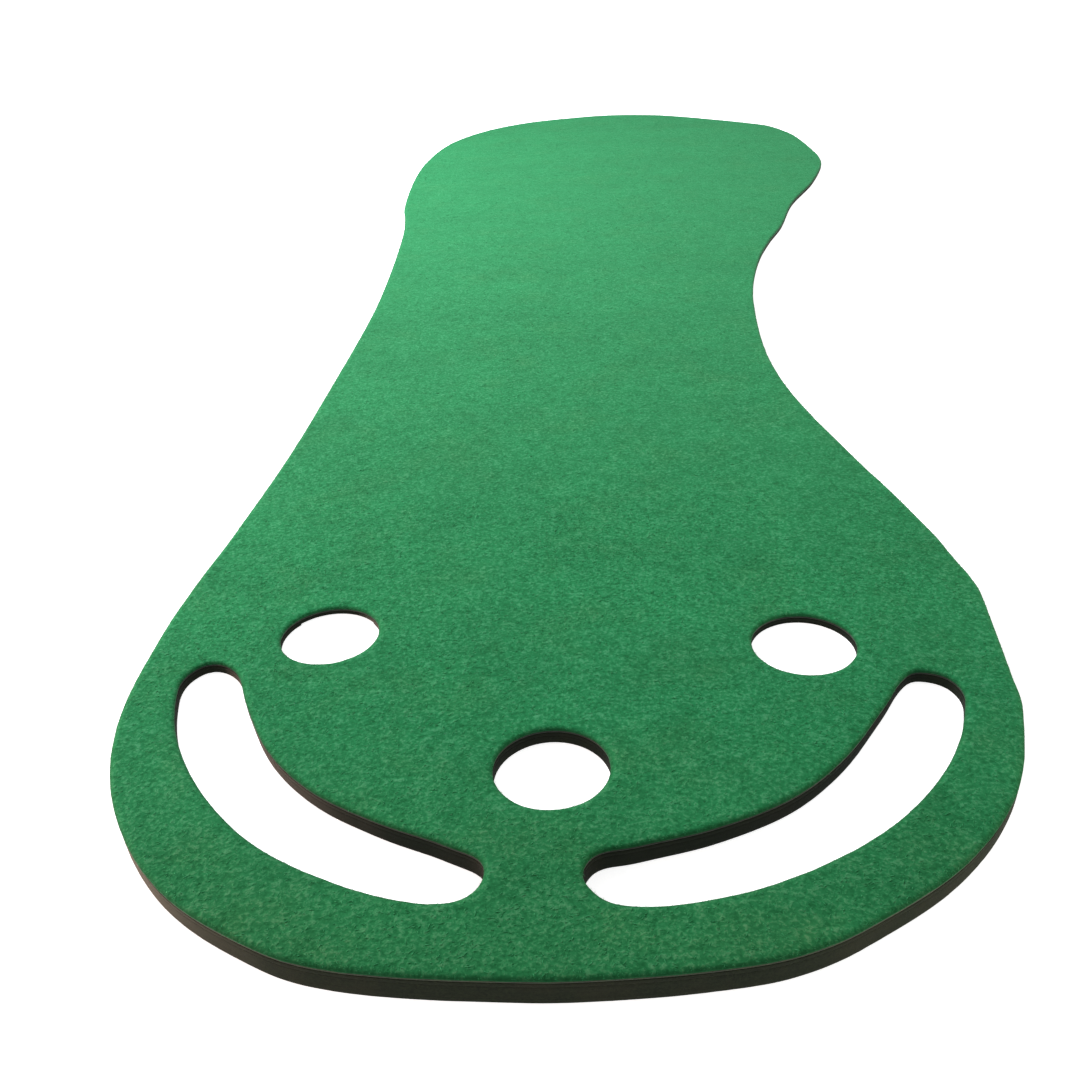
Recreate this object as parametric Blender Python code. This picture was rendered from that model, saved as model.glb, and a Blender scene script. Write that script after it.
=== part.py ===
"""Practice putting mat: felt face, felt backing, foam base and a foam wedge under the cup end.

Metres, +Z up. The mat lies along Y, with the cup end at -Y and the tee end at +Y. The origin is
the centre of the outline's box, on the floor.
"""

import math

import bmesh
import bpy
from mathutils import Vector
from mathutils.geometry import interpolate_bezier

# Driving dimensions.
MAT_WIDTH = 0.914
MAT_LENGTH = 2.743
FELT_THICKNESS = 0.0035
BACKING_THICKNESS = 0.0008
FOAM_THICKNESS = 0.0036
GAP = 0.0003
RAMP_START_Y = -0.933
RAMP_BLEND = 0.04
RAMP_SLOPE = 0.036
WEDGE_TIP_THICKNESS = 0.001
CUP_RADIUS = 0.045

# Points per outline span, and points round a cup.
OUTLINE_STEPS = 4
TRAP_STEPS = 4
CUP_STEPS = 36
RAMP_CUTS = 5

# Heights of the flat stretch, from the floor up.
BACKING_BOTTOM = FOAM_THICKNESS + GAP
FELT_BOTTOM = BACKING_BOTTOM + BACKING_THICKNESS + GAP
FELT_TOP = FELT_BOTTOM + FELT_THICKNESS

# The kidney outline, counterclockwise from the middle of the cup end.
OUTLINE = [
    (-0.095, -1.3715), (-0.037, -1.3695), (0.025, -1.363), (0.072, -1.3535), (0.116, -1.334),
    (0.195, -1.2795), (0.252, -1.2085), (0.285, -1.118), (0.290, -1.079), (0.298, -1.003),
    (0.302, -0.963), (0.303, -0.933), (0.294, -0.880), (0.290, -0.853), (0.262, -0.740),
    (0.251, -0.703), (0.203, -0.503), (0.188, -0.353), (0.196, -0.153), (0.211, -0.040),
    (0.235, 0.072), (0.264, 0.165), (0.298, 0.256), (0.341, 0.407), (0.404, 0.5565),
    (0.448, 0.697), (0.4565, 0.757), (0.457, 0.817), (0.440, 0.997), (0.421, 1.069),
    (0.391, 1.1365), (0.345, 1.1815), (0.294, 1.2235), (0.185, 1.304), (0.110, 1.345),
    (-0.010, 1.3715), (-0.120, 1.3565), (-0.240, 1.317), (-0.342, 1.232), (-0.415, 1.102),
    (-0.4505, 0.917), (-0.457, 0.737), (-0.445, 0.497), (-0.4295, 0.397), (-0.418, 0.297),
    (-0.405, 0.047), (-0.4015, -0.153), (-0.411, -0.453), (-0.420, -0.638), (-0.437, -0.823),
    (-0.447, -0.903), (-0.452, -0.983), (-0.446, -1.113), (-0.414, -1.211), (-0.350, -1.296),
    (-0.265, -1.349), (-0.205, -1.365),
]

# The two crescent traps, as closed loops of points.
LEFT_TRAP = [
    (-0.390, -1.038), (-0.364, -1.053), (-0.343, -1.097), (-0.308, -1.158), (-0.263, -1.2035),
    (-0.209, -1.2355), (-0.153, -1.2605), (-0.127, -1.279), (-0.136, -1.306), (-0.170, -1.311),
    (-0.231, -1.292), (-0.295, -1.256), (-0.349, -1.202), (-0.389, -1.139), (-0.408, -1.083),
    (-0.4075, -1.054),
]
RIGHT_TRAP = [
    (0.216, -1.068), (0.201, -1.079), (0.179, -1.113), (0.137, -1.172), (0.092, -1.2145),
    (0.034, -1.244), (-0.024, -1.2615), (-0.052, -1.270), (-0.0585, -1.293), (-0.034, -1.3135),
    (0.028, -1.3085), (0.093, -1.2845), (0.159, -1.241), (0.213, -1.178), (0.244, -1.106),
    (0.239, -1.078),
]

# Centres of the three cups.
CUP_CENTRES = [(-0.293, -0.998), (-0.084, -1.181), (0.130, -1.026)]


def remove_all_objects():
    """Empty the scene that the script runs in."""
    for item in list(bpy.data.objects):
        bpy.data.objects.remove(item, do_unlink=True)


def smooth_loop(points, steps):
    """Closed curve through the points, from cubic spans with centred tangents."""
    loop = []
    count = len(points)
    for index in range(count):
        before, start, end, after = (Vector(points[(index + k - 1) % count]) for k in range(4))
        span = (end - start).length
        leaving = (end - before).normalized() * span / 3
        arriving = (after - start).normalized() * span / 3
        curve = interpolate_bezier(start, start + leaving, end - arriving, end, steps + 1)
        loop.extend((point.x, point.y) for point in curve[:-1])
    return loop


def fit_to_box(points, width, length):
    """Scale and centre a loop so that its box is exactly width by length."""
    xs = [x for x, _ in points]
    ys = [y for _, y in points]
    middle_x = (min(xs) + max(xs)) / 2
    middle_y = (min(ys) + max(ys)) / 2
    scale_x = width / (max(xs) - min(xs))
    scale_y = length / (max(ys) - min(ys))
    return [((x - middle_x) * scale_x, (y - middle_y) * scale_y) for x, y in points]


def circle_loop(centre, radius, steps):
    """Points round a circle."""
    turns = (2 * math.pi * step / steps for step in range(steps))
    return [(centre[0] + radius * math.cos(a), centre[1] + radius * math.sin(a)) for a in turns]


def ramp_rise(y):
    """Height that the wedge adds at y: flat, then a short curve, then an even slope."""
    run = RAMP_START_Y + RAMP_BLEND - y
    if run <= 0:
        return 0.0
    if run < 2 * RAMP_BLEND:
        return RAMP_SLOPE * run * run / (4 * RAMP_BLEND)
    return RAMP_SLOPE * (run - RAMP_BLEND)


def ramp_stations():
    """Places along Y where a layer is cut, so that it can follow the ramp's curve."""
    first = RAMP_START_Y - RAMP_BLEND
    return [first + 2 * RAMP_BLEND * cut / (RAMP_CUTS - 1) for cut in range(RAMP_CUTS)]


def wedge_tip_y():
    """Where the wedge is skived off: the place where its thickness falls to the tip's."""
    needed = GAP + WEDGE_TIP_THICKNESS
    return RAMP_START_Y + RAMP_BLEND - math.sqrt(needed * 4 * RAMP_BLEND / RAMP_SLOPE)


def cut_across(bm, y, clear_beyond):
    """Cut flat faces along a line at y, and drop what lies beyond it if asked."""
    everything = bm.verts[:] + bm.edges[:] + bm.faces[:]
    bmesh.ops.bisect_plane(
        bm, geom=everything, dist=1e-6, plane_co=(0, y, 0), plane_no=(0, 1, 0), clear_outer=clear_beyond
    )


def add_loop(bm, points):
    """Add a closed ring of edges at floor level."""
    ring = [bm.verts.new((x, y, 0)) for x, y in points]
    return [bm.edges.new((ring[i], ring[(i + 1) % len(ring)])) for i in range(len(ring))]


def make_layer(name, loops, bottom, top, end_y=None):
    """One closed layer between two heights, each a function of y, with the loops cut out."""
    bm = bmesh.new()
    rings = [edge for points in loops for edge in add_loop(bm, points)]
    bmesh.ops.triangle_fill(bm, use_beauty=True, edges=rings, normal=(0, 0, 1))
    for station in ramp_stations():
        cut_across(bm, station, clear_beyond=False)
    if end_y is not None:
        cut_across(bm, end_y, clear_beyond=True)
    low_verts = bm.verts[:]
    grown = bmesh.ops.extrude_face_region(bm, geom=bm.faces[:])
    high_verts = [item for item in grown["geom"] if isinstance(item, bmesh.types.BMVert)]
    for vert in low_verts:
        vert.co.z = bottom(vert.co.y)
    for vert in high_verts:
        vert.co.z = top(vert.co.y)
    bmesh.ops.recalc_face_normals(bm, faces=bm.faces)
    mesh = bpy.data.meshes.new(name)
    bm.to_mesh(mesh)
    bm.free()
    mesh.shade_smooth()
    mesh.set_sharp_from_angle(angle=math.radians(30))
    layer = bpy.data.objects.new(name, mesh)
    bpy.context.scene.collection.objects.link(layer)
    return layer


def give_material(item, color, roughness):
    """A plain finish of the piece's own colour."""
    material = bpy.data.materials.new(item.name)
    material.use_nodes = True
    shader = material.node_tree.nodes["Principled BSDF"]
    shader.inputs["Base Color"].default_value = (*color, 1)
    shader.inputs["Roughness"].default_value = roughness
    shader.inputs["Metallic"].default_value = 0
    item.data.materials.append(material)


def mat_loops():
    """The outline, the two traps and the three cups, which every layer shares."""
    outline = fit_to_box(smooth_loop(OUTLINE, OUTLINE_STEPS), MAT_WIDTH, MAT_LENGTH)
    traps = [smooth_loop(trap, TRAP_STEPS) for trap in (LEFT_TRAP, RIGHT_TRAP)]
    cups = [circle_loop(centre, CUP_RADIUS, CUP_STEPS) for centre in CUP_CENTRES]
    return [outline] + traps + cups


def raised(height):
    """A surface that stands at this height on the flat stretch, and follows the ramp."""
    return lambda y: height + ramp_rise(y)


def build():
    """Make the four layers of the mat."""
    remove_all_objects()
    loops = mat_loops()

    felt = make_layer("putting_surface", loops, raised(FELT_BOTTOM), raised(FELT_TOP))
    give_material(felt, color=(0.045, 0.30, 0.12), roughness=0.95)

    backing_top = BACKING_BOTTOM + BACKING_THICKNESS
    backing = make_layer("felt_backing", loops, raised(BACKING_BOTTOM), raised(backing_top))
    give_material(backing, color=(0.16, 0.19, 0.10), roughness=0.7)

    base = make_layer("foam_base", loops, raised(0), raised(FOAM_THICKNESS))
    give_material(base, color=(0.026, 0.028, 0.020), roughness=0.85)

    wedge = make_layer("cup_end_wedge", loops, lambda y: 0.0, raised(-GAP), end_y=wedge_tip_y())
    give_material(wedge, color=(0.026, 0.028, 0.020), roughness=0.85)


build()
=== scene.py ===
"""Looks of the practice putting mat: felt face, latex backing, foam base and foam wedge.

Metres, +Z up. The mat lies along Y, with the cup end at -Y. Every layer is built from the rings of its
CAD node, and its heights follow the CAD ramp.
"""

import math

import bmesh
import bpy
import numpy as np
from mathutils import Matrix, Vector, noise
from mathutils.geometry import delaunay_2d_cdt, interpolate_bezier
from mathutils.kdtree import KDTree


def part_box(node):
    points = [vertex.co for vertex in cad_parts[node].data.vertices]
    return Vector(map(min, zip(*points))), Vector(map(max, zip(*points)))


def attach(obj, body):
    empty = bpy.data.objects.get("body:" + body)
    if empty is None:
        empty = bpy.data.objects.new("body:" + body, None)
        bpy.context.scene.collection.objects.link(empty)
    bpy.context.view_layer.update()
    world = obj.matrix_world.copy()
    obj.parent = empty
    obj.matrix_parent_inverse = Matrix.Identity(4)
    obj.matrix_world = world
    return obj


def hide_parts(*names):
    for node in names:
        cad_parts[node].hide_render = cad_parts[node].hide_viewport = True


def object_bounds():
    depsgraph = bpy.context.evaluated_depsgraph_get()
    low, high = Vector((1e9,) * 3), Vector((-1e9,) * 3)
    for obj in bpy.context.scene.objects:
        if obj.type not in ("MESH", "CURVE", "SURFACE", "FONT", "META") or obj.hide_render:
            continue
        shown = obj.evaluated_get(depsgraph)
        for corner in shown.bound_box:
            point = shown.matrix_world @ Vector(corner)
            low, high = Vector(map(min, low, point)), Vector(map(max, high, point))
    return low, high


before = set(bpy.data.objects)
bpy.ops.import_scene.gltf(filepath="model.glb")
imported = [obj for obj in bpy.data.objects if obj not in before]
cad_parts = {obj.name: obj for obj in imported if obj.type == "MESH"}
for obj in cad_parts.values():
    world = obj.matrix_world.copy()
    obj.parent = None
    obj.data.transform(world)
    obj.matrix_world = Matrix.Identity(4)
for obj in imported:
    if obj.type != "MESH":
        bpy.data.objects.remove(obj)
CAD_LOW, CAD_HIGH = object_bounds()

# Mesh spacing.
RING_STEP = 0.004
NEAR_STEP = 0.0036
FAR_STEP = 0.0066
COARSE_STEP = 0.03
SHORT_EDGE = 0.0015
MERGE = 1e-6
CORNER_DEG = 35

# Felt edge: inset into the mat and height share, from the underside up and over the rounded rim.
FELT_PROFILE = [
    (0.0008, 0.0), (0.0002, 0.08), (-0.0003, 0.24), (-0.0002, 0.42), (0.0003, 0.60), (0.0011, 0.76),
    (0.0022, 0.89), (0.0036, 0.97), (0.0056, 1.0),
]
BACKING_PROFILE = [(0.0003, 0.0), (0.0001, 0.5), (0.0004, 1.0)]
BASE_PROFILE = [(0.0001, 0.0), (0.0, 0.08), (0.0, 0.5), (0.0, 0.92), (0.0002, 1.0)]
WEDGE_PROFILE = [
    (0.0005, 0.0), (0.0001, 0.04), (0.0, 0.25), (0.0, 0.5), (0.0, 0.75), (0.0, 0.97), (0.0001, 1.0),
]
LAYER_GAP = 0.00005

# Relief of the felt's top, the felt's edge and the foam's edge: height (m) and scale (per m).
FELT_RELIEF = [(0.00030, 9.0), (0.00016, 60.0), (0.00014, 170.0)]
EDGE_RELIEF = [(0.00025, 70.0), (0.00018, 240.0)]
FOAM_RELIEF = [(0.00016, 25.0), (0.00010, 160.0)]

# Loose fibres: how many, their mean length and their thickness (m), and where the two lots meet.
RIM_FIBRES_PER_M = 900
PILE_FIBRES_NEAR = 15000
PILE_FIBRES_FAR = 12000
PILE_LENGTH_NEAR = 0.0026
PILE_LENGTH_FAR = 0.0034
PILE_THICK_NEAR = 0.00042
PILE_THICK_FAR = 0.00050
PILE_SPLIT_Y = -0.75
PILE_CLEAR_OF_EDGE = 0.003

# Colours of the felt. The tints multiply its colour.
# Dark and light felt stops: partly the felt's own greens, partly painted pit shade and painted highlight.
FELT_DARK_AND_PIT_SHADE = (0.006, 0.118, 0.036, 1)
FELT_MIDDLE = (0.0155, 0.200, 0.070, 1)
FELT_LIGHT_AND_HIGHLIGHT = (0.064, 0.312, 0.144, 1)
# Painted sheen haze: the felt evens out towards this flat green at the tee end.
FELT_TEE_END_HAZE = (0.024, 0.203, 0.075, 1)
# Painted shade on the felt's rounded rim and cut side.
FELT_CUT_EDGE_SHADE = (0.008, 0.055, 0.020, 1)
WORN_TINT = (1.36, 0.93, 0.90, 1)
# Painted shade: multiplies the felt darker and warmer near the cup end.
CUP_END_SHADE_TINT = (1.22, 0.86, 0.83, 1)
SHEEN_TINT = (0.48, 1.0, 0.60, 1)
FIBRE_DARK = (0.012, 0.160, 0.054, 1)
FIBRE_LIGHT = (0.040, 0.280, 0.115, 1)

# Colours of the latex and the foam.
LATEX_DARK = (0.018, 0.028, 0.012, 1)
LATEX_LIGHT = (0.042, 0.056, 0.027, 1)
LATEX_SPECK = (0.012, 0.018, 0.008, 1)
# Painted shade inside the holes.
LATEX_HOLE_SHADE = (0.004, 0.012, 0.006, 1)
FOAM_DARK = (0.0085, 0.0120, 0.0068, 1)
FOAM_LIGHT = (0.0200, 0.0262, 0.0150, 1)
FOAM_PATCH = (0.034, 0.029, 0.018, 1)
FOAM_STREAK = (0.026, 0.030, 0.019, 1)
# Painted shade in the pore hollows.
FOAM_PORE_SHADE = (0.003, 0.003, 0.0025, 1)
# Painted shade inside the holes.
FOAM_HOLE_SHADE = (0.0015, 0.0045, 0.003, 1)
# Painted warm light on the walls that face left on the mat's left side.
FOAM_LEFT_WALL_LIGHT = (0.132, 0.110, 0.086, 1)

# Stage. Each area light has its name, place, target, size, power in watts and colour.
WORLD_STRENGTH = 0.505
FLOOR_GLOW = 0.85
FLOOR_SIZE = 60
FLOOR_DROP = 0.0002
AREA_LIGHTS = [
    ("far_window", (-0.9, 2.9, 2.4), (0.0, 0.3, 0.0), (2.8, 1.8), 15, (1.0, 1.0, 1.0)),
    ("left_window", (-1.35, 0.75, 1.55), (0.0, 0.15, 0.0), (1.6, 1.0), 79, (0.95, 1.0, 1.05)),
    ("warm_fill", (-1.75, -1.45, 0.75), (-0.35, -1.15, 0.0), (0.8, 0.5), 10, (1.0, 0.46, 0.32)),
    ("warm_low", (-1.55, -1.10, 0.07), (-0.42, -1.20, 0.02), (0.5, 0.1), 17, (1.0, 0.84, 0.70)),
    ("right_low", (1.45, -1.30, 0.09), (0.30, -1.15, 0.02), (0.5, 0.14), 12, (1.0, 0.88, 0.62)),
]

# Camera, from the middle of the cup-end edge.
CAMERA_BACK = 0.4214
CAMERA_X = -0.036
CAMERA_HEIGHT = 0.5949
CAMERA_PITCH = 0.55068
CAMERA_YAW = 0.07435
CAMERA_ROLL = -0.06427
CAMERA_LENS = 36.42
CAMERA_SENSOR = 36.0

# Dark card that shades the cup end.
CARD_PLACE = (0.05, -1.75, 1.00)
CARD_SIZE = (2.4, 1.1)


# ---------------------------------------------------------------------------------------------
# Shapes read from the CAD nodes


def top_faces(name):
    """Merged copy of a CAD node as a bmesh, and a list of its faces that look up."""
    bm = bmesh.new()
    bm.from_mesh(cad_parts[name].data)
    bmesh.ops.remove_doubles(bm, verts=bm.verts[:], dist=MERGE)
    bm.normal_update()
    return bm, [face for face in bm.faces if face.normal.z > 0.5]


def top_heights(name):
    """Sorted Y places on the top of a CAD node, and the heights there."""
    bm, faces = top_faces(name)
    points = sorted({(vert.co.y, vert.co.z) for face in faces for vert in face.verts})
    bm.free()
    return np.array(points).T


def top_area(name):
    """Area of the top of a CAD node."""
    bm, faces = top_faces(name)
    area = sum(face.calc_area() for face in faces)
    bm.free()
    return area


def top_rings(name):
    """Closed rings of (x, y) round the top of a CAD node, each with the mat on its left."""
    bm, faces = top_faces(name)
    looks_up = set(faces)
    onward = {}
    for face in faces:
        for loop in face.loops:
            if sum(other in looks_up for other in loop.edge.link_faces) == 1:
                onward[loop.vert] = loop.link_loop_next.vert
    rings = []
    while onward:
        vert = next(iter(onward))
        ring = []
        while vert in onward:
            ring.append((vert.co.x, vert.co.y))
            vert = onward.pop(vert)
        rings.append(ring)
    bm.free()
    return rings


def without_flat_points(ring):
    """The ring without the points on a straight line or too near the one before."""
    kept = []
    for index, point in enumerate(ring):
        before = Vector(ring[index - 1])
        after = Vector(ring[(index + 1) % len(ring)])
        along = (after - before).normalized()
        offset = Vector(point) - before
        bends = abs(along.x * offset.y - along.y * offset.x) > 2e-6
        if bends and offset.length > SHORT_EDGE:
            kept.append(point)
    return kept


def smooth_ring(points, step):
    """Points about a step apart on a smooth closed curve through the given ones, with corners kept."""
    count = len(points)
    ring = []
    for index in range(count):
        before, start, end, after = (Vector(points[(index + k - 1) % count]) for k in range(4))
        span = end - start
        leaving, arriving = end - before, after - start
        if span.angle(start - before) > math.radians(CORNER_DEG):
            leaving = span
        if span.angle(after - end) > math.radians(CORNER_DEG):
            arriving = span
        third = span.length / 3
        cuts = max(1, round(span.length / step))
        curve = interpolate_bezier(
            start, start + leaving.normalized() * third, end - arriving.normalized() * third, end, cuts + 1
        )
        ring.extend((point.x, point.y) for point in curve[:-1])
    return np.array(ring)


def inward(ring):
    """Unit normals of a ring, pointing into the mat."""
    ahead = np.roll(ring, -1, axis=0) - np.roll(ring, 1, axis=0)
    ahead /= np.linalg.norm(ahead, axis=1)[:, None]
    return np.stack([-ahead[:, 1], ahead[:, 0]], axis=1)


RAMP_Y, RAMP_Z = top_heights("foam_base")
BASE_TOP = float(RAMP_Z.min())


def rise(y):
    """Height that the ramp adds at y."""
    return np.interp(y, RAMP_Y, RAMP_Z) - BASE_TOP


def relief(points, parts, seed):
    """Sum of noises over (x, y, z) points, each part with its height and scale."""
    total = np.zeros(len(points))
    for height, scale in parts:
        shift = Vector((seed, -seed, seed * 2.0))
        total += [height * noise.noise(Vector(point) * scale + shift) for point in points]
    return total


# ---------------------------------------------------------------------------------------------
# Building layers


def inner_points(rings, step_at, clear):
    """Scattered points inside the rings, with a spacing that depends on y."""
    rng = np.random.default_rng(7)
    tree = KDTree(sum(len(ring) for ring in rings))
    places = np.concatenate(rings)
    normals = np.concatenate([inward(ring) for ring in rings])
    for index, (x, y) in enumerate(places):
        tree.insert((x, y, 0), index)
    tree.balance()
    low, high = places.min(axis=0), places.max(axis=0)
    kept = []
    y = low[1]
    while y < high[1]:
        step = step_at(y)
        for x in np.arange(low[0] + rng.random() * step, high[0], step):
            point = np.array([x, y]) + rng.uniform(-0.22, 0.22, 2) * step
            _, index, distance = tree.find((point[0], point[1], 0))
            if distance > clear * step and (point - places[index]) @ normals[index] > 0:
                kept.append(point)
        y += step * 0.9
    return np.array(kept).reshape(-1, 2)


def inside(point, ring):
    """Whether a point lies inside a closed ring."""
    x, y = point
    after = np.roll(ring, -1, axis=0)
    crosses = (ring[:, 1] > y) != (after[:, 1] > y)
    start, end = ring[crosses], after[crosses]
    reach = start[:, 0] + (y - start[:, 1]) / (end[:, 1] - start[:, 1]) * (end[:, 0] - start[:, 0])
    return np.count_nonzero(reach > x) % 2 == 1


def cap(rings, inner):
    """Triangles over the rings and the inner points, as indices into both, one after the other."""
    holes = sorted(rings, key=len)[:-1]
    edge_count = sum(len(ring) for ring in rings)
    points = [Vector(point) for ring in rings for point in ring] + [Vector(point) for point in inner]
    edges = []
    first = 0
    for ring in rings:
        edges += [(first + k, first + (k + 1) % len(ring)) for k in range(len(ring))]
        first += len(ring)
    _, _, found, sources, _, _ = delaunay_2d_cdt(points, edges, [], 1, 1e-9)
    faces = []
    for face in found:
        face = [sources[index][0] for index in face]
        if max(face) < edge_count:
            middle = sum((points[index] for index in face), Vector((0, 0))) / 3
            if any(inside(middle, hole) for hole in holes):
                continue
        faces.append(face)
    return faces


def new_object(name, verts, faces, smooth=True):
    """A mesh object from points and faces."""
    mesh = bpy.data.meshes.new(name)
    mesh.from_pydata([tuple(vert) for vert in verts], [], faces)
    mesh.update()
    if smooth:
        mesh.shade_smooth()
    item = bpy.data.objects.new(name, mesh)
    bpy.context.scene.collection.objects.link(item)
    return item


def layer(name, rings, profile, bottom, top, top_step, top_relief=(), side_relief=(), seed=1.0):
    """A closed layer between two heights (functions of y), with a shaped edge and a fine top."""
    verts, faces, starts = [], [], []
    edge_tone, hole_tone = [], []
    outer = max(rings, key=len)
    for inset, share in profile:
        rows = []
        for ring in rings:
            place = ring + inward(ring) * inset
            y = place[:, 1]
            z = bottom(y) + (top(y) - bottom(y)) * share
            rows.append(np.column_stack([place, z]))
        starts.append(len(verts))
        verts.extend(np.concatenate(rows))
        for ring in rings:
            edge_tone += [1.0 - share if share < 1 else 0.0] * len(ring)
            hole_tone += [float(ring is not outer)] * len(ring)
    verts = np.array(verts)
    if side_relief:
        push = relief(verts, side_relief, seed)
        normals = np.concatenate([inward(ring) for ring in rings] * len(profile))
        verts[:, :2] += normals * push[:, None]
    count = starts[1]
    for low, high in zip(starts[:-1], starts[1:]):
        first = 0
        for ring in rings:
            for k in range(len(ring)):
                a, b = first + k, first + (k + 1) % len(ring)
                faces.append((low + a, low + b, high + b, high + a))
            first += len(ring)
    sizes = np.cumsum([len(ring) for ring in rings])[:-1]
    for start, step_at, upper in ((starts[0], even_step, False), (starts[-1], top_step, True)):
        caps = np.split(verts[start:start + count, :2], sizes)
        inner = inner_points(caps, step_at, 0.62)
        height = top if upper else bottom
        base = len(verts)
        if len(inner):
            verts = np.vstack([verts, np.column_stack([inner, height(inner[:, 1])])])
            edge_tone += [0.0] * len(inner)
            hole_tone += [0.0] * len(inner)
        for face in cap(caps, inner):
            face = [start + index if index < count else base + index - count for index in face]
            faces.append(face if upper else face[::-1])
        if upper and top_relief:
            verts[base:, 2] += relief(verts[base:], top_relief, seed)
    item = new_object(name, verts, faces)
    for label, tone in (("edge", edge_tone), ("hole", hole_tone)):
        attribute = item.data.attributes.new(label, "FLOAT", "POINT")
        attribute.data.foreach_set("value", np.array(tone, np.float32))
    return item


def felt_step(y):
    """Spacing of the felt's points: fine at the cup end, coarser towards the tee end."""
    return float(np.interp(y, [-0.9, -0.3], [NEAR_STEP, FAR_STEP]))


def even_step(y):
    """Spacing of the points on undersides and on the tops of the layers below the felt."""
    return COARSE_STEP


# ---------------------------------------------------------------------------------------------
# Fibres


def fibres(name, roots, tips, lifts, widths):
    """Closed three-sided spindles from root to tip, bowed by lift in the middle."""
    count = len(roots)
    along = tips - roots
    side = np.cross(along, (0.0, 0.0, 1.0))
    side /= np.maximum(np.linalg.norm(side, axis=1), 1e-9)[:, None]
    up = np.cross(side, along)
    up /= np.maximum(np.linalg.norm(up, axis=1), 1e-9)[:, None]
    parts = [roots]
    for share in (0.33, 0.67):
        middle = roots + along * share + lifts
        for turn in (0.0, 1.0, 2.0):
            angle = 2 * math.pi * turn / 3 + 0.5
            parts.append(middle + (side * math.cos(angle) + up * math.sin(angle)) * widths[:, None] / 2)
    parts.append(tips)
    verts = np.stack(parts, axis=1).reshape(-1, 3)
    shape = []
    for k in range(3):
        n = (k + 1) % 3
        shape += [(0, 1 + k, 1 + n), (1 + k, 4 + k, 4 + n), (1 + k, 4 + n, 1 + n), (4 + k, 7, 4 + n)]
    shape = np.array(shape)
    faces = (np.arange(count)[:, None, None] * 8 + shape).reshape(-1, 3)
    return new_object(name, verts, faces.tolist())


def rim_fibres(name, rings, top):
    """Short fibres that stand out of the felt's cut edge, all round the rings."""
    rng = np.random.default_rng(11)
    roots, tips = [], []
    for ring in rings:
        normals = inward(ring)
        length = np.linalg.norm(ring - np.roll(ring, 1, axis=0), axis=1).sum()
        pick = rng.integers(0, len(ring), int(length * RIM_FIBRES_PER_M))
        between = rng.random(len(pick))[:, None]
        place = ring[pick] * (1 - between) + ring[(pick + 1) % len(ring)] * between
        inset = rng.uniform(-0.0002, 0.0022, len(pick))
        share = np.interp(inset, [-0.0003, 0.0001, 0.0008, 0.0022], [0.45, 0.72, 0.87, 0.97])
        share = np.where(inset < 0.0, rng.uniform(0.15, 0.75, len(pick)), share)
        place = place + normals[pick] * inset[:, None]
        z = top(place[:, 1]) - FELT_THICK * (1 - share)
        root = np.column_stack([place, z])
        tangent = np.column_stack([normals[pick][:, 1], -normals[pick][:, 0]])
        outward = -normals[pick] * rng.uniform(0.1, 1.0, (len(pick), 1))
        heading = np.column_stack([
            outward + tangent * rng.normal(0, 0.9, (len(pick), 1)),
            rng.normal(0.25, 0.5, len(pick)),
        ])
        heading /= np.linalg.norm(heading, axis=1)[:, None]
        roots.append(root - heading * 0.0003)
        tips.append(root + heading * rng.gamma(3.0, 0.00042, (len(pick), 1)))
    roots, tips = np.concatenate(roots), np.concatenate(tips)
    lifts = rng.normal(0, 0.00022, roots.shape)
    return fibres(name, roots, tips, lifts, rng.uniform(0.00010, 0.00024, len(roots)))


def pile_fibres(name, rings, top, count, y_range, long, thick, seed):
    """Loose fibres that lie in curls on the felt's face."""
    rng = np.random.default_rng(seed)
    tree = KDTree(sum(len(ring) for ring in rings))
    places = np.concatenate(rings)
    normals = np.concatenate([inward(ring) for ring in rings])
    for index, (x, y) in enumerate(places):
        tree.insert((x, y, 0), index)
    tree.balance()
    roots = []
    while len(roots) < count:
        x = rng.uniform(CAD_LOW.x, CAD_HIGH.x)
        y = rng.uniform(*y_range)
        _, index, distance = tree.find((x, y, 0))
        if distance > PILE_CLEAR_OF_EDGE and (np.array([x, y]) - places[index]) @ normals[index] > 0:
            roots.append((x, y))
    roots = np.array(roots)
    turn = rng.uniform(0, 2 * math.pi, count)
    size = rng.gamma(5.0, long / 5.0, count)
    tips = roots + np.column_stack([np.cos(turn), np.sin(turn)]) * size[:, None]
    low = top(roots[:, 1]) - 0.0001
    high = top(tips[:, 1]) + rng.uniform(-0.0001, 0.0003, count)
    lifts = np.column_stack([
        rng.normal(0, 0.0004, count), rng.normal(0, 0.0004, count), np.full(count, 0.00022),
    ])
    return fibres(
        name, np.column_stack([roots, low]), np.column_stack([tips, high]), lifts,
        rng.uniform(0.6, 1.3, count) * thick,
    )


# ---------------------------------------------------------------------------------------------
# Materials


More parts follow.
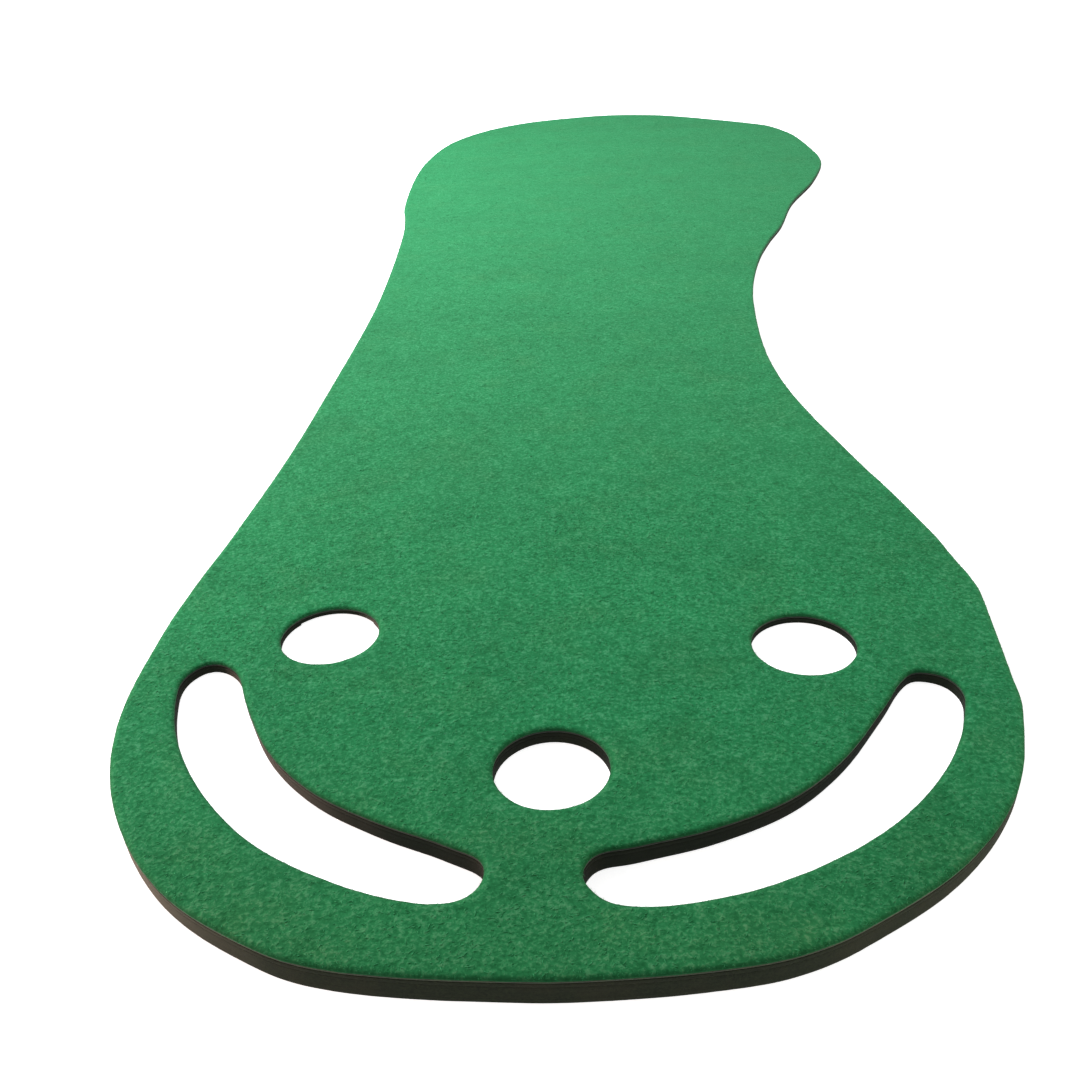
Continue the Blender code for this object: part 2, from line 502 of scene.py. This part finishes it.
class Tree:
    """Short way to write a material's nodes."""

    def __init__(self, name):
        self.material = bpy.data.materials.new(name)
        self.material.use_nodes = True
        self.nodes = self.material.node_tree.nodes
        self.shader = self.nodes["Principled BSDF"]

    def put(self, socket, value):
        """Link an output to a socket, or set the socket's value."""
        if isinstance(value, bpy.types.NodeSocket):
            self.material.node_tree.links.new(value, socket)
        else:
            socket.default_value = value

    def add(self, kind, inputs, output=0, **settings):
        """A node with its settings and inputs, and the output asked for."""
        node = self.nodes.new(kind)
        for key, value in settings.items():
            setattr(node, key, value)
        for key, value in inputs.items():
            self.put(node.inputs[key], value)
        return node.outputs[output]

    def place(self):
        """Position in metres."""
        return self.add("ShaderNodeTexCoord", {}, output="Object")

    def math(self, operation, a, b=0.0, clamp=False):
        """One sum."""
        return self.add("ShaderNodeMath", {0: a, 1: b}, operation=operation, use_clamp=clamp)

    def noise(self, where, scale, detail=2.0, rough=0.5, distortion=0.0, stretch=(1, 1, 1), shift=0.0):
        """Noise from 0 to 1, which may be stretched and shifted."""
        moved = (shift, shift * 0.7, shift * 0.3)
        mapped = self.add(
            "ShaderNodeMapping", {"Vector": where, "Scale": stretch, "Location": moved}
        )
        inputs = {
            "Vector": mapped, "Scale": scale, "Detail": detail, "Roughness": rough, "Distortion": distortion,
        }
        return self.add("ShaderNodeTexNoise", inputs, output="Fac")

    def range(self, value, low, high, to_low=0.0, to_high=1.0):
        """Straight map from one range to another, clamped."""
        inputs = {"Value": value, "From Min": low, "From Max": high, "To Min": to_low, "To Max": to_high}
        return self.add("ShaderNodeMapRange", inputs, clamp=True)

    def mix(self, share, a, b, blend="MIX"):
        """Mix of two colours."""
        return self.add(
            "ShaderNodeMix", {0: share, 6: a, 7: b}, output=2, data_type="RGBA", blend_type=blend
        )

    def finish(self, color, roughness, height, bump, distance):
        """Connect colour, roughness and bump to the shader."""
        self.put(self.shader.inputs["Base Color"], color)
        self.put(self.shader.inputs["Roughness"], roughness)
        normal = self.add(
            "ShaderNodeBump", {"Height": height, "Strength": bump, "Distance": distance}
        )
        self.put(self.shader.inputs["Normal"], normal)
        return self.material


def ridge(tree, value, gain):
    """Thin curved lines where a noise passes its middle, 1 on the line and 0 beside it."""
    away = tree.math("ABSOLUTE", tree.math("SUBTRACT", value, 0.5))
    return tree.math("SUBTRACT", 1.0, tree.math("MULTIPLY", away, gain), clamp=True)


def felt_material():
    """Needled felt: light and dark green strands, painted pit shade and highlight, faint bands, worn
    patches.
    """
    tree = Tree("felt")
    where = tree.place()
    strand_a = ridge(tree, tree.noise(where, 210, 1.5, distortion=0.6), 9.0)
    strand_b = ridge(tree, tree.noise(where, 290, 1.5, distortion=0.4, shift=3.1), 8.0)
    break_up = tree.range(tree.noise(where, 330, 1.0, shift=7.7), 0.40, 0.60)
    strands = tree.math("MULTIPLY", tree.math("MAXIMUM", strand_a, strand_b), break_up)
    clumps = tree.range(tree.noise(where, 220, 2.0, rough=0.6, shift=1.3), 0.28, 0.72)
    tufts = tree.range(tree.noise(where, 70, 2.0, shift=5.2), 0.30, 0.70)
    height = tree.math("ADD", tree.math("MULTIPLY", strands, 0.36), tree.math("MULTIPLY", clumps, 0.46))
    height = tree.math("ADD", height, tree.math("MULTIPLY", tufts, 0.18))
    # Low places get the dark colour and raised strands the light one: partly the felt's two greens, partly
    # painted pit shade and painted highlight.
    ramp = tree.nodes.new("ShaderNodeValToRGB")
    stops = ramp.color_ramp.elements
    stops[0].position = 0.05
    stops[0].color = FELT_DARK_AND_PIT_SHADE
    stops[1].position = 0.95
    stops[1].color = FELT_LIGHT_AND_HIGHLIGHT
    middle = stops.new(0.45)
    middle.color = FELT_MIDDLE
    tree.put(ramp.inputs[0], height)
    color = ramp.outputs[0]
    drifts = tree.range(tree.noise(where, 16.0, 4.0, rough=0.7, shift=4.4), 0.3, 0.7, 0.91, 1.09)
    bands = tree.range(tree.noise(where, 1.0, 2.0, stretch=(0.5, 7.0, 1.0)), 0.3, 0.7, 0.95, 1.05)
    wide = tree.math("MULTIPLY", drifts, bands)
    grey = tree.add("ShaderNodeCombineColor", {0: wide, 1: wide, 2: wide})
    color = tree.mix(1.0, color, grey, "MULTIPLY")
    worn = tree.range(tree.noise(where, 12.0, 4.0, rough=0.65, shift=9.1), 0.50, 0.72, 0.0, 0.8)
    color = tree.mix(worn, color, tree.mix(1.0, color, WORN_TINT, "MULTIPLY"))
    along = tree.add("ShaderNodeSeparateXYZ", {"Vector": where}, output="Y")
    # Painted sheen haze: towards the tee end the felt evens out to a flat, slightly whiter green.
    tee_end_haze = tree.range(along, -0.9, 0.6, 0.0, 0.35)
    color = tree.mix(tee_end_haze, color, FELT_TEE_END_HAZE)
    # Painted shade: the felt turns darker and warmer towards the cup end.
    cup_end_shade = tree.range(along, CAD_LOW.y, CAD_LOW.y + 0.25, 1.0, 0.0)
    color = tree.mix(cup_end_shade, color, tree.mix(1.0, color, CUP_END_SHADE_TINT, "MULTIPLY"))
    # Painted shade: the felt darkens over its rounded rim and down its cut side.
    edge = tree.add("ShaderNodeAttribute", {}, output="Fac", attribute_name="edge")
    shade = tree.range(edge, 0.04, 0.5, 0.0, 0.8)
    color = tree.mix(shade, color, FELT_CUT_EDGE_SHADE)
    shader = tree.shader.inputs
    shader["Sheen Weight"].default_value = 0.17
    shader["Sheen Roughness"].default_value = 0.4
    shader["Sheen Tint"].default_value = SHEEN_TINT
    shader["Specular IOR Level"].default_value = 0.05
    return tree.finish(color, 0.92, height, 0.5, 0.0012)


def fibre_material(name, dark, light):
    """Single synthetic fibres, each with its own tone."""
    tree = Tree(name)
    where = tree.place()
    tone = tree.add("ShaderNodeNewGeometry", {}, output="Random Per Island")
    color = tree.mix(tone, dark, light)
    streaks = tree.noise(where, 2500, 1.0)
    color = tree.mix(tree.range(streaks, 0.35, 0.7, 0.0, 0.5), color, light)
    tree.shader.inputs["Sheen Weight"].default_value = 0.08
    tree.shader.inputs["Sheen Tint"].default_value = SHEEN_TINT
    tree.shader.inputs["Specular IOR Level"].default_value = 0.08
    return tree.finish(color, 0.85, streaks, 0.3, 0.0001)


def latex_material():
    """Thin olive latex precoat, slightly uneven, with painted shade inside the holes."""
    tree = Tree("latex")
    where = tree.place()
    blotches = tree.noise(where, 120, 3.0, rough=0.6)
    specks = tree.noise(where, 900, 2.0)
    color = tree.mix(tree.range(blotches, 0.35, 0.65), LATEX_DARK, LATEX_LIGHT)
    color = tree.mix(tree.range(specks, 0.5, 0.7, 0.0, 0.6), color, LATEX_SPECK)
    # Painted shade: the latex is darker inside the holes.
    hole = tree.add("ShaderNodeAttribute", {}, output="Fac", attribute_name="hole")
    color = tree.mix(tree.range(hole, 0.0, 1.0, 0.0, 0.8), color, LATEX_HOLE_SHADE)
    return tree.finish(color, tree.range(blotches, 0.3, 0.7, 0.55, 0.75), specks, 0.4, 0.0002)


def foam_material(name):
    """Cut closed-cell foam: charcoal, painted shade in small pores and holes, faint streaks, brown patches.

    Walls that face left on the mat's left side get a painted warm light that turns them lighter brown.
    """
    tree = Tree(name)
    where = tree.place()
    cells = tree.add(
        "ShaderNodeTexVoronoi", {"Vector": where, "Scale": 1100.0, "Randomness": 1.0}, output="Distance"
    )
    pores = tree.range(cells, 0.15, 0.55)
    streaks = tree.noise(where, 30, 3.0, stretch=(0.25, 0.25, 22.0))
    patches = tree.noise(where, 14, 3.0, rough=0.6, shift=2.0)
    grain = tree.noise(where, 500, 2.0)
    color = tree.mix(tree.range(grain, 0.3, 0.7), FOAM_DARK, FOAM_LIGHT)
    color = tree.mix(tree.range(patches, 0.45, 0.75, 0.0, 0.5), color, FOAM_PATCH)
    color = tree.mix(tree.range(streaks, 0.45, 0.75, 0.0, 0.35), color, FOAM_STREAK)
    # Painted shade: the foam darkens in the pore hollows.
    color = tree.mix(tree.range(pores, 0.0, 0.5, 0.55, 0.0), color, FOAM_PORE_SHADE)
    # Painted shade: the foam is darker inside the holes.
    hole = tree.add("ShaderNodeAttribute", {}, output="Fac", attribute_name="hole")
    color = tree.mix(tree.range(hole, 0.0, 1.0, 0.0, 0.5), color, FOAM_HOLE_SHADE)
    # Painted warm light: walls that face left on the mat's left side turn lighter brown.
    normal = tree.add("ShaderNodeNewGeometry", {}, output="Normal")
    sideways = tree.add("ShaderNodeSeparateXYZ", {"Vector": normal}, output="X")
    across = tree.add("ShaderNodeSeparateXYZ", {"Vector": where}, output="X")
    faces_left = tree.range(sideways, -0.40, -0.92, 0.0, 0.85)
    on_left_side = tree.range(across, -0.10, -0.26, 0.0, 1.0)
    color = tree.mix(tree.math("MULTIPLY", faces_left, on_left_side), color, FOAM_LEFT_WALL_LIGHT)
    height = tree.math("ADD", tree.math("MULTIPLY", pores, 0.6), tree.math("MULTIPLY", streaks, 0.4))
    tree.shader.inputs["Specular IOR Level"].default_value = 0.08
    return tree.finish(color, tree.range(grain, 0.3, 0.7, 0.75, 0.92), height, 0.5, 0.0004)


# ---------------------------------------------------------------------------------------------
# Pieces

FELT_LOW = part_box("putting_surface")[0].z
FELT_HIGH = top_heights("putting_surface")[1].min()
FELT_THICK = FELT_HIGH - FELT_LOW


def at_height(height):
    """A surface that stands at this height on the flat stretch, and follows the ramp."""
    return lambda y: height + rise(y)


def rings_of(name):
    """Fine smooth rings of a CAD node."""
    return [smooth_ring(without_flat_points(ring), RING_STEP) for ring in top_rings(name)]


def dress(item, material, nodes=()):
    """Give a piece its material, slot and body, and hide the CAD nodes that it stands for."""
    item.data.materials.append(material)
    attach(item, "root")
    if nodes:
        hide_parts(*nodes)
    return item


def build_felt(rings):
    """The felt face, with its fibres."""
    top = at_height(FELT_HIGH)
    felt = layer(
        "felt_face", rings, FELT_PROFILE, at_height(FELT_LOW), top, felt_step, FELT_RELIEF, EDGE_RELIEF, 3.0
    )
    dress(felt, felt_material(), ["putting_surface"])
    loose = fibre_material("loose_fibre", FIBRE_DARK, FIBRE_LIGHT)
    rim = dress(rim_fibres("rim_fibres", rings, top), loose)
    near = pile_fibres(
        "pile_fibres_cup_end", rings, top, PILE_FIBRES_NEAR, (CAD_LOW.y, PILE_SPLIT_Y),
        PILE_LENGTH_NEAR, PILE_THICK_NEAR, 21,
    )
    far = pile_fibres(
        "pile_fibres_tee_end", rings, top, PILE_FIBRES_FAR, (PILE_SPLIT_Y, CAD_HIGH.y),
        PILE_LENGTH_FAR, PILE_THICK_FAR, 22,
    )
    for item in (near, far):
        dress(item, loose)
    return felt, [rim, near, far]


def build_backing(rings):
    """The latex coat under the felt, which shows as a thin line along every cut edge."""
    low = BASE_TOP + LAYER_GAP
    high = FELT_LOW - LAYER_GAP
    backing = layer("latex_backing", rings, BACKING_PROFILE, at_height(low), at_height(high), even_step)
    return dress(backing, latex_material(), ["felt_backing"])


def build_foam(rings):
    """The foam sheet and the wedge under the cup end."""
    base = layer(
        "foam_sheet", rings, BASE_PROFILE, at_height(0.0), at_height(BASE_TOP), even_step,
        side_relief=FOAM_RELIEF, seed=5.0,
    )
    dress(base, foam_material("foam_sheet"), ["foam_base"])
    wedge = layer(
        "foam_wedge", rings_of("cup_end_wedge"), WEDGE_PROFILE, lambda y: 0.0 * y,
        lambda y: rise(y) - LAYER_GAP, even_step, side_relief=FOAM_RELIEF, seed=5.0,
    )
    dress(wedge, foam_material("foam_wedge"), ["cup_end_wedge"])
    return base, wedge


# ---------------------------------------------------------------------------------------------
# Stage


def area_light(name, place, target, size, power, color):
    """A soft light that looks at a point, and that the camera can't see."""
    data = bpy.data.lights.new(name, "AREA")
    data.shape = "RECTANGLE"
    data.size, data.size_y = size
    data.energy = power
    data.color = color
    item = bpy.data.objects.new(name, data)
    item.location = place
    item.rotation_euler = (Vector(target) - Vector(place)).to_track_quat("-Z", "Y").to_euler()
    item.visible_camera = False
    bpy.context.scene.collection.objects.link(item)


def build_stage():
    """Pale glowing floor, soft world light and studio lights."""
    bpy.ops.mesh.primitive_grid_add(
        x_subdivisions=4, y_subdivisions=4, size=FLOOR_SIZE, location=(0, 0, -FLOOR_DROP)
    )
    floor = bpy.context.object
    floor.name = "floor"
    tree = Tree("floor")
    tree.shader.inputs["Base Color"].default_value = (0.92, 0.92, 0.92, 1)
    tree.shader.inputs["Roughness"].default_value = 0.9
    tree.shader.inputs["Specular IOR Level"].default_value = 0.0
    tree.shader.inputs["Emission Color"].default_value = (1.0, 1.0, 1.0, 1)
    tree.shader.inputs["Emission Strength"].default_value = FLOOR_GLOW
    floor.data.materials.append(tree.material)
    world = bpy.data.worlds.new("studio")
    world.use_nodes = True
    background = world.node_tree.nodes["Background"]
    background.inputs["Color"].default_value = (1.0, 1.0, 1.0, 1)
    background.inputs["Strength"].default_value = WORLD_STRENGTH
    bpy.context.scene.world = world
    for light in AREA_LIGHTS:
        area_light(*light)
    bpy.context.scene.view_settings.view_transform = "Standard"


def build_card():
    """A dark card above the camera, out of its sight, which shades the cup end a little."""
    bpy.ops.mesh.primitive_grid_add(x_subdivisions=2, y_subdivisions=2, size=1, location=CARD_PLACE)
    card = bpy.context.object
    card.name = "card"
    card.scale = (*CARD_SIZE, 1)
    tree = Tree("card")
    tree.shader.inputs["Base Color"].default_value = (0.02, 0.02, 0.02, 1)
    card.data.materials.append(tree.material)
    card.visible_camera = False


def build_camera():
    """Camera at the place fitted to the photograph, before the cup end, looking down along the mat."""
    data = bpy.data.cameras.new("camera")
    data.lens = CAMERA_LENS
    data.sensor_width = CAMERA_SENSOR
    data.clip_start = 0.01
    camera = bpy.data.objects.new("camera", data)
    look = Vector((
        -math.sin(CAMERA_YAW) * math.cos(CAMERA_PITCH),
        math.cos(CAMERA_YAW) * math.cos(CAMERA_PITCH),
        -math.sin(CAMERA_PITCH),
    ))
    level = Vector((math.cos(CAMERA_YAW), math.sin(CAMERA_YAW), 0.0))
    above = level.cross(look)
    right = level * math.cos(CAMERA_ROLL) + above * math.sin(CAMERA_ROLL)
    up = above * math.cos(CAMERA_ROLL) - level * math.sin(CAMERA_ROLL)
    turn = Matrix((right, up, -look)).transposed()
    place = Matrix.Translation((CAMERA_X, CAD_LOW.y - CAMERA_BACK, CAMERA_HEIGHT))
    camera.matrix_world = place @ turn.to_4x4()
    bpy.context.scene.collection.objects.link(camera)
    bpy.context.scene.camera = camera


build_camera()
build_stage()
build_card()
mat_rings = rings_of("putting_surface")
felt_face, felt_fibres = build_felt(mat_rings)
latex_backing = build_backing(mat_rings)
foam_sheet, foam_wedge = build_foam(mat_rings)

top_area("putting_surface")
